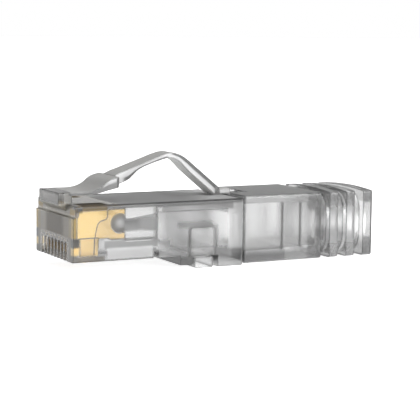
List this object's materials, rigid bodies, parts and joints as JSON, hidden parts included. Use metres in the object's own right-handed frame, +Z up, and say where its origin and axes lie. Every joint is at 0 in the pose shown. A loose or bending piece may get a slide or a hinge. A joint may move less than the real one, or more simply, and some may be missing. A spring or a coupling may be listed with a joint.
{
  "type": "rj45 modular plug",
  "caption": "Clear modular plug with gold blade contacts, a snag-free arched latch, a wire guide and a ribbed rear boot around the cable entry.",
  "frame": {"origin": "centre of the overall box in plan, at the height of the underside of the heel, on which the plug stands", "axes": "+X runs from the nose towards the cable end, +Z points up to the latch, contacts face down and forward, Y is across the plug"},
  "size_m": [0.0412, 0.0116, 0.0134],
  "materials": {
    "housing": "clear moulded polycarbonate, faintly smoky, polished walls",
    "latch": "clear moulded polycarbonate, polished",
    "guide": "clear moulded plastic",
    "boot": "clear moulded plastic with fine flow marks",
    "contacts": "gold plating on stamped bronze"
  },
  "bodies": {
    "plug": {"plug_housing": "housing", "wire_guide": "guide", "rear_boot": "boot", "contact_1": "contacts", "contact_2": "contacts", "contact_3": "contacts", "contact_4": "contacts", "contact_5": "contacts", "contact_6": "contacts", "contact_7": "contacts", "contact_8": "contacts"},
    "latch": {"latch_arm": "latch"},
    "tail": {"latch_tail": "latch"}
  },
  "joints": [
    {"name": "latch_press", "type": "hinge", "parent": "plug", "child": "latch", "pos_m": [-0.01886, 0, 0.00911], "axis": [0, 1, 0], "range_deg": [0, 10], "stiffness_Nm_per_rad": 0.0006},
    {"name": "tail_flex", "type": "hinge", "parent": "latch", "child": "tail", "pos_m": [-0.00544, 0, 0.01308], "axis": [0, 1, 0], "range_deg": [-31, 0]}
  ],
  "couplings": [
    {"joint": "tail_flex", "follows": "latch_press", "ratio": -3.057}
  ]
}
